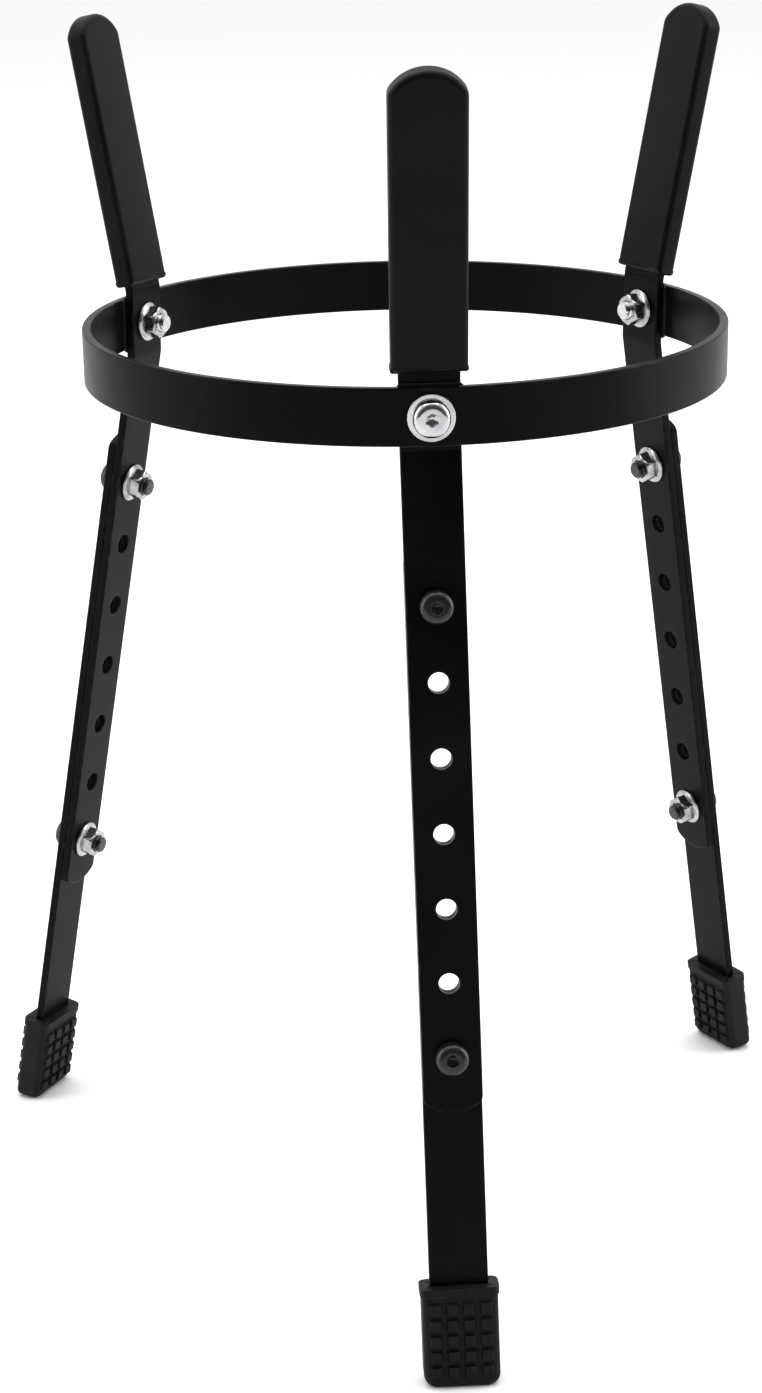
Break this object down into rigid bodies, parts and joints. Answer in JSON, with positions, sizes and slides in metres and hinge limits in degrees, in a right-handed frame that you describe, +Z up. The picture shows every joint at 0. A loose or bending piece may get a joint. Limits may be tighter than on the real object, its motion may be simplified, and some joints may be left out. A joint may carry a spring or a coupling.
{
  "type": "conga drum stand",
  "caption": "Black steel conga stand: a flat hoop and rubber-sleeved flared arms cradle the drum, over splayed flat-bar legs whose bolted extensions set the height.",
  "frame": {"origin": "on the floor, under the middle of the hoop", "axes": "+Z up along the hoop's axis, front leg towards -Y, left and right legs towards +Y at 120 degrees from it"},
  "size_m": [0.3871, 0.351, 0.5444],
  "materials": {
    "black_steel": "satin black powder coat",
    "sleeve_rubber": "smooth satin black rubber",
    "foot_rubber": "matt black moulded rubber",
    "chrome": "polished chrome plate",
    "zinc_nut": "bright zinc plate",
    "black_bolt": "black oxide, lightly oiled",
    "spacer": "moulded black plastic"
  },
  "bodies": {
    "hoop": {"ring": "black_steel", "spacer_front": "spacer", "ring_washer_front": "chrome", "ring_bolt_front": "chrome", "ring_nut_front": "zinc_nut", "spacer_left": "spacer", "ring_washer_left": "chrome", "ring_bolt_left": "chrome", "ring_nut_left": "zinc_nut", "spacer_right": "spacer", "ring_washer_right": "chrome", "ring_bolt_right": "chrome", "ring_nut_right": "zinc_nut"},
    "post_front": {"upright_front": "black_steel", "sleeve_front": "sleeve_rubber", "leg_bolt_upper_front": "black_bolt", "leg_nut_upper_front": "zinc_nut", "leg_bolt_lower_front": "black_bolt", "leg_nut_lower_front": "zinc_nut"},
    "leg_front": {"leg_extension_front": "black_steel", "foot_front": "foot_rubber"},
    "post_left": {"upright_left": "black_steel", "sleeve_left": "sleeve_rubber", "leg_bolt_upper_left": "black_bolt", "leg_nut_upper_left": "zinc_nut", "leg_bolt_lower_left": "black_bolt", "leg_nut_lower_left": "zinc_nut"},
    "leg_left": {"leg_extension_left": "black_steel", "foot_left": "foot_rubber"},
    "post_right": {"upright_right": "black_steel", "sleeve_right": "sleeve_rubber", "leg_bolt_upper_right": "black_bolt", "leg_nut_upper_right": "zinc_nut", "leg_bolt_lower_right": "black_bolt", "leg_nut_lower_right": "zinc_nut"},
    "leg_right": {"leg_extension_right": "black_steel", "foot_right": "foot_rubber"}
  },
  "joints": [
    {"name": "front_swivel", "type": "hinge", "parent": "hoop", "child": "post_front", "pos_m": [0, -0.1375, 0.40548], "axis": [0, -1, 0], "range_deg": [-10.7, 9.3]},
    {"name": "front_height", "type": "slide", "parent": "post_front", "child": "leg_front", "axis": [0.012, -0.1736, -0.9847], "range_m": [0, 0.189]},
    {"name": "left_swivel", "type": "hinge", "parent": "hoop", "child": "post_left", "pos_m": [-0.11908, 0.06875, 0.40548], "axis": [-0.866, 0.5, 0], "range_deg": [-11.9, 8.1]},
    {"name": "left_height", "type": "slide", "parent": "post_left", "child": "leg_left", "axis": [-0.1667, 0.0585, -0.9843], "range_m": [0, 0.189]},
    {"name": "right_swivel", "type": "hinge", "parent": "hoop", "child": "post_right", "pos_m": [0.11908, 0.06875, 0.40548], "axis": [0.866, 0.5, 0], "range_deg": [-11.7, 8.3]},
    {"name": "right_height", "type": "slide", "parent": "post_right", "child": "leg_right", "axis": [0.1358, 0.1121, -0.9844], "range_m": [0, 0.189]}
  ]
}
